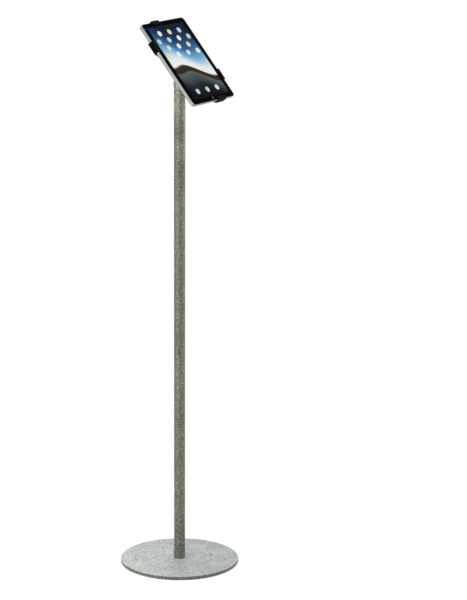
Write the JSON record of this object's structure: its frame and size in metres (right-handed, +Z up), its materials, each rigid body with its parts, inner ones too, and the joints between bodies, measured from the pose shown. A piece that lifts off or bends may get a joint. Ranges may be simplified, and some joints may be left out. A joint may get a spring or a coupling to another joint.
{
  "type": "adjustable tablet floor stand",
  "caption": "Floor stand with a round weighted base, a telescoping pole and a swivelling, tilting head whose self-centring claws grip a tablet.",
  "frame": {"origin": "on the floor under the middle of the base plate, on the pole's axis", "axes": "+Z up along the pole; the tablet faces -Y at rest; +X is to the right of someone facing the screen"},
  "size_m": [0.305, 0.305, 1.4097],
  "materials": {
    "hammered_silver": "hammertone silver-grey powder coat",
    "satin_tube": "satin anodised tube",
    "black_casting": "black powder-coated zinc casting",
    "black_plastic": "black moulded plastic, fine grain",
    "zinc_hardware": "zinc-plated steel",
    "acetal": "natural acetal",
    "rubber": "black rubber",
    "tablet_alloy": "bead-blasted anodised aluminium",
    "tablet_front": "glossy front glass with a black border",
    "display_panel": "lit display panel",
    "home_plastic": "gloss black button",
    "battery_foil": "foil pouch",
    "circuit_board": "solder mask"
  },
  "bodies": {
    "stand": {"base_plate": "hammered_silver", "foot_ring": "rubber", "foot_plug": "zinc_hardware", "base_bolt": "zinc_hardware", "base_washer": "zinc_hardware", "pole": "hammered_silver", "pole_insert": "zinc_hardware", "collet": "acetal"},
    "collar": {"twist_collar": "hammered_silver"},
    "mast": {"mast": "satin_tube", "mast_guide": "acetal", "mast_cap": "zinc_hardware", "swivel_screw": "zinc_hardware", "swivel_washers": "acetal"},
    "yoke": {"swivel_yoke": "black_casting", "tilt_bolt": "zinc_hardware", "friction_washers": "acetal", "knob_spacer": "zinc_hardware"},
    "knob": {"tilt_knob": "black_plastic"},
    "knuckle": {"tilt_knuckle": "black_casting", "hub_washer": "zinc_hardware", "hub_screw": "zinc_hardware"},
    "cradle": {"cradle_shell": "black_plastic", "cradle_cover": "black_plastic", "cradle_screws": "zinc_hardware", "back_pads": "rubber", "tablet_housing": "tablet_alloy", "tablet_glass": "tablet_front", "tablet_display": "display_panel", "tablet_battery": "battery_foil", "tablet_board": "circuit_board"},
    "lock_screw": {"grip_lock_screw": "zinc_hardware"},
    "width_gear": {"width_pinion": "acetal"},
    "length_gear": {"length_pinion": "acetal"},
    "left_claw": {"left_arm": "black_plastic", "left_claw_pad": "rubber"},
    "right_claw": {"right_arm": "black_plastic", "right_claw_pad": "rubber"},
    "top_claw": {"top_arm": "black_plastic", "top_claw_pad": "rubber"},
    "bottom_claw": {"bottom_arm": "black_plastic", "bottom_claw_pad": "rubber"},
    "home_key": {"home_button": "home_plastic"},
    "power_key": {"power_button": "tablet_alloy"},
    "volume_up_key": {"volume_up_button": "tablet_alloy"},
    "volume_down_key": {"volume_down_button": "tablet_alloy"}
  },
  "joints": [
    {"name": "collar_twist", "type": "hinge", "parent": "stand", "child": "collar", "pos_m": [0, 0, 1.2517], "axis": [0, 0, 1], "range_deg": [0, 90]},
    {"name": "height_slide", "type": "slide", "parent": "stand", "child": "mast", "axis": [0, 0, 1], "range_m": [0, 0.25]},
    {"name": "head_swivel", "type": "hinge", "parent": "mast", "child": "yoke", "pos_m": [0, 0, 1.2633], "axis": [0, 0, 1], "continuous": true},
    {"name": "head_tilt", "type": "hinge", "parent": "yoke", "child": "knuckle", "pos_m": [0, 0, 1.2833], "axis": [1, 0, 0], "range_deg": [-50, 30]},
    {"name": "knob_turn", "type": "hinge", "parent": "yoke", "child": "knob", "pos_m": [0.019, 0, 1.2833], "axis": [1, 0, 0], "range_deg": [0, 180]},
    {"name": "cradle_turn", "type": "hinge", "parent": "knuckle", "child": "cradle", "pos_m": [0, -0.00993, 1.29947], "axis": [0, -0.766, 0.6428], "range_deg": [-90, 90]},
    {"name": "left_claw_slide", "type": "slide", "parent": "cradle", "child": "left_claw", "axis": [-1, 0, 0], "range_m": [0, 0.015]},
    {"name": "right_claw_slide", "type": "slide", "parent": "cradle", "child": "right_claw", "axis": [1, 0, 0], "range_m": [0, 0.015]},
    {"name": "width_gear_spin", "type": "hinge", "parent": "cradle", "child": "width_gear", "pos_m": [0, -0.00982, 1.29937], "axis": [0, -0.766, 0.6428], "range_deg": [0, 86]},
    {"name": "top_claw_slide", "type": "slide", "parent": "cradle", "child": "top_claw", "axis": [0, 0.6428, 0.766], "range_m": [0, 0.015]},
    {"name": "bottom_claw_slide", "type": "slide", "parent": "cradle", "child": "bottom_claw", "axis": [0, -0.6428, -0.766], "range_m": [0, 0.015]},
    {"name": "length_gear_spin", "type": "hinge", "parent": "cradle", "child": "length_gear", "pos_m": [0, -0.01231, 1.30146], "axis": [0, -0.766, 0.6428], "range_deg": [-86, 0]},
    {"name": "lock_screw_turn", "type": "hinge", "parent": "cradle", "child": "lock_screw", "pos_m": [-0.01655, 0.00377, 1.30957], "axis": [0, -0.766, 0.6428], "range_deg": [0, 180]},
    {"name": "home_press", "type": "slide", "parent": "cradle", "child": "home_key", "axis": [0, 0.766, -0.6428], "range_m": [0, 0.0006], "stiffness_N_per_m": 900},
    {"name": "power_press", "type": "slide", "parent": "cradle", "child": "power_key", "axis": [0, -0.6428, -0.766], "range_m": [0, 0.0004], "stiffness_N_per_m": 900},
    {"name": "volume_up_press", "type": "slide", "parent": "cradle", "child": "volume_up_key", "axis": [-1, 0, 0], "range_m": [0, 0.0004], "stiffness_N_per_m": 900},
    {"name": "volume_down_press", "type": "slide", "parent": "cradle", "child": "volume_down_key", "axis": [-1, 0, 0], "range_m": [0, 0.0004], "stiffness_N_per_m": 900}
  ],
  "couplings": [
    {"joint": "right_claw_slide", "follows": "left_claw_slide", "ratio": 1},
    {"joint": "width_gear_spin", "follows": "left_claw_slide", "rad_per_m": 100},
    {"joint": "bottom_claw_slide", "follows": "top_claw_slide", "ratio": 1},
    {"joint": "length_gear_spin", "follows": "top_claw_slide", "rad_per_m": -100}
  ]
}
